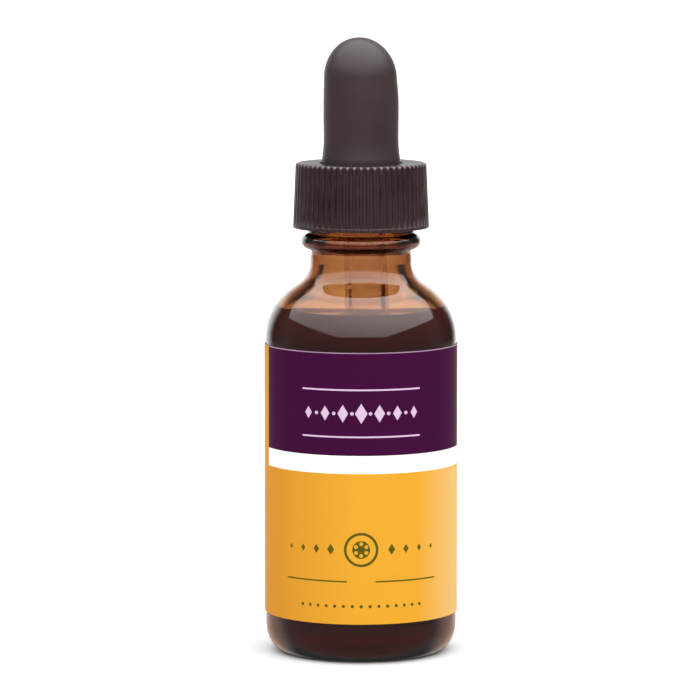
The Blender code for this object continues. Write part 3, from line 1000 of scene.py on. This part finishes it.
for inset, height in ((0.02, 94.4), (0.06, 95.3), (0.11, 96.2), (0.16, 97.0)):
    bulb_outline.append((BULB_RADIUS - inset, height))
bulb_outline += arc(0, BULB_DOME_START, BULB_DOME_RADIUS, dome_rise, 0, 88, 40)
bulb_outline += [(0, BULB_TOP)]
lining = [(0, BULB_TOP - BULB_WALL)]
lining += arc(0, BULB_DOME_START, cavity, dome_rise - BULB_WALL, 85, 0, 12)
lining += [(cavity, BULB_GRIP_TOP + cavity - grip), (grip, BULB_GRIP_TOP)]
bulb = turned("rubber_bulb", bulb_outline + lining, 128, ring=True)
for corner in bulb.data.vertices:
    corner.co.x -= max(0, corner.co.z - BULB_LEAN_START * MM) * BULB_LEAN

# Moulded rubber: a warm matte black that spreads a highlight into a soft grey bloom. Its pores are
# drawn coarser than the real ones, at 0.2 mm.
rubber = new_material("matte_moulded_rubber")
on_bulb = add(rubber, "ShaderNodeTexCoord").outputs["Object"]
bloom = add(rubber, "ShaderNodeTexNoise", {"Vector": on_bulb, "Scale": 0.22 / MM, "Detail": 4.0})
pores = add(rubber, "ShaderNodeTexNoise", {"Vector": on_bulb, "Scale": 4.5 / MM, "Detail": 2.0})
pore_bump = add(
    rubber,
    "ShaderNodeBump",
    {"Height": pores.outputs["Fac"], "Distance": 0.015 * MM, "Strength": 0.5},
)
rubber_black = add(
    rubber,
    "ShaderNodeMix",
    {"Factor": bloom.outputs["Fac"], "A": linear(BULB_BLACK), "B": linear(BULB_BLOOM)},
    data_type="RGBA",
)
rubber_shader = add(
    rubber,
    "ShaderNodeBsdfPrincipled",
    {
        "Base Color": rubber_black.outputs["Result"],
        "Roughness": 0.46,
        "IOR": 1.52,
        "Specular IOR Level": 0.4,
        "Normal": pore_bump.outputs["Normal"],
    },
)
add(rubber, "ShaderNodeOutputMaterial", {"Surface": rubber_shader.outputs["BSDF"]})
bulb.data.materials.append(rubber)
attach(bulb, "dropper")
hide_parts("bulb")

# Floor: a plain white studio table, far larger than the view.
FLOOR_HALF = 6.0
FLOOR_WHITE = (0.56, 0.56, 0.56, 1)
table_mesh = bpy.data.meshes.new("studio_table")
table_corners = [(-FLOOR_HALF, -FLOOR_HALF, 0), (FLOOR_HALF, -FLOOR_HALF, 0)]
table_corners += [(FLOOR_HALF, FLOOR_HALF, 0), (-FLOOR_HALF, FLOOR_HALF, 0)]
table_mesh.from_pydata(table_corners, [], [(0, 1, 2, 3)])
table = placed("studio_table", table_mesh)
white_table = new_material("white_studio_table")
table_shader = add(
    white_table,
    "ShaderNodeBsdfPrincipled",
    {"Base Color": FLOOR_WHITE, "Roughness": 0.9, "Specular IOR Level": 0.1},
)
add(white_table, "ShaderNodeOutputMaterial", {"Surface": table_shader.outputs["BSDF"]})
table_mesh.materials.append(white_table)
table.visible_glossy = False

# Light: one broad soft box overhead that leans over the camera, a bright backdrop behind the bottle, a
# dim room, and warm light off the table. It is all far off, so it is the same wherever the bottle
# stands. The box's reaches to the side, front and rear are in units of its height.
SIDE_REACH = 2.38
FRONT_REACH = 4.2
REAR_REACH = 1.0
BOX_LOW = 2.0
BOX_HIGH = 4.0
RIGHT_GAIN = 0.16
ROOM = 0.32
REAR_ROOM = 0.1
BACKDROP = 1.75
BACKDROP_LEFT = math.radians(-44)
BACKDROP_RIGHT = math.radians(34)
TABLE_GLOW = 1.25
TABLE_TINT = (1.0, 0.66, 0.54, 1)
BOUNCE = 0.75
BOUNCE_TINT = (1.0, 0.47, 0.44, 1)

world = bpy.data.worlds.new("soft_studio")
world.use_nodes = True
world.node_tree.nodes.clear()
bpy.context.scene.world = world
outlook = add(world, "ShaderNodeTexCoord").outputs["Generated"]
outlook_axes = add(world, "ShaderNodeSeparateXYZ", {"Vector": outlook})
width_way = add(world, "ShaderNodeMath", {0: outlook_axes.outputs["X"]}, operation="ABSOLUTE")
folded = add(
    world,
    "ShaderNodeCombineXYZ",
    {"X": width_way.outputs[0], "Y": outlook_axes.outputs["Y"], "Z": outlook_axes.outputs["Z"]},
).outputs["Vector"]


def panel(toward, edges):
    """Where a panel of light is seen: inside every edge.

    An edge is a direction, and how far towards it a look has to point for light to start and to fill.
    """
    seen = 1.0
    for edge, starts, fills in edges:
        inward = add(world, "ShaderNodeVectorMath", {0: toward, 1: edge}, operation="DOT_PRODUCT")
        share = add(
            world,
            "ShaderNodeMapRange",
            {"Value": inward.outputs["Value"], "From Min": starts, "From Max": fills},
            interpolation_type="SMOOTHSTEP",
        )
        seen = add(
            world, "ShaderNodeMath", {0: seen, 1: share.outputs["Result"]}, operation="MULTIPLY"
        ).outputs[0]
    return seen


overhead = panel(
    folded,
    (
        ((-1, 0, SIDE_REACH), 0, 0.08),
        ((0, 1, FRONT_REACH), 0, 0.08),
        ((0, -1, REAR_REACH), 0, 0.08),
    ),
)
backdrop = panel(
    outlook,
    (
        ((math.cos(BACKDROP_LEFT), -math.sin(BACKDROP_LEFT), 0), -0.1, 0.3),
        ((-math.cos(BACKDROP_RIGHT), math.sin(BACKDROP_RIGHT), 0), -0.1, 0.3),
        ((0, 0, -1), -0.45, -0.18),
        ((0, 0, 1), -0.25, -0.15),
    ),
)
box_glow = add(
    world,
    "ShaderNodeMapRange",
    {"Value": outlook_axes.outputs["Z"], "From Min": 0.25, "To Min": BOX_LOW, "To Max": BOX_HIGH},
)
brighter_right = add(
    world,
    "ShaderNodeMath",
    {0: outlook_axes.outputs["X"], 1: RIGHT_GAIN, 2: 1.0},
    operation="MULTIPLY_ADD",
)
box_light = add(
    world,
    "ShaderNodeMath",
    {0: box_glow.outputs["Result"], 1: brighter_right.outputs[0]},
    operation="MULTIPLY",
)
table_glow = panel(
    folded,
    (
        ((1, 0, 0), 0.1, 0.32),
        ((0, 1, 0), 0.05, 0.55),
        ((0, 0, -1), 0.08, 0.2),
        ((0, 0, 1), -0.75, -0.45),
    ),
)
bounce = panel(outlook, (((0, -1, 0), -0.3, 0.1), ((0, 0, -1), 0.1, 0.35)))
room = add(
    world,
    "ShaderNodeMapRange",
    {
        "Value": outlook_axes.outputs["Y"],
        "From Min": 0.25,
        "From Max": 0.6,
        "To Min": ROOM,
        "To Max": REAR_ROOM,
    },
)
strength = room.outputs["Result"]
for seen, brightness in (
    (backdrop, BACKDROP),
    (table_glow, TABLE_GLOW),
    (bounce, BOUNCE),
    (overhead, box_light.outputs[0]),
):
    strength = add(
        world, "ShaderNodeMix", {"Factor": seen, "A": strength, "B": brightness}
    ).outputs["Result"]
tint = (1, 1, 1, 1)
for seen, warm in ((table_glow, TABLE_TINT), (bounce, BOUNCE_TINT)):
    tint = add(
        world, "ShaderNodeMix", {"Factor": seen, "A": tint, "B": warm}, data_type="RGBA"
    ).outputs["Result"]
studio = add(world, "ShaderNodeBackground", {"Color": tint, "Strength": strength})
add(world, "ShaderNodeOutputWorld", {"Surface": studio.outputs["Background"]})

# Camera: a long lens a little above the bottle, as in the photograph.
IMAGE_WIDTH = 700
SENSOR_WIDTH = 36.0
FOCAL_PIXELS = 4739.0
CAMERA_DISTANCE = 0.800
CAMERA_HEIGHT = 0.1424
AIM_HEIGHT = 0.0514
AIM_LEFT = -0.00187
camera_data = bpy.data.cameras.new("camera")
camera_data.sensor_width = SENSOR_WIDTH
camera_data.lens = FOCAL_PIXELS / IMAGE_WIDTH * SENSOR_WIDTH
camera_data.clip_start = 0.01
camera_data.clip_end = 50
camera = bpy.data.objects.new("camera", camera_data)
camera.location = (AIM_LEFT, -CAMERA_DISTANCE, CAMERA_HEIGHT)
aim = Vector((AIM_LEFT, 0, AIM_HEIGHT)) - camera.location
camera.rotation_euler = aim.to_track_quat("-Z", "Y").to_euler()
bpy.context.scene.collection.objects.link(camera)
bpy.context.scene.camera = camera

scene = bpy.context.scene
scene.view_settings.view_transform = "Standard"
scene.cycles.max_bounces = 24
scene.cycles.transmission_bounces = 24
scene.cycles.glossy_bounces = 8
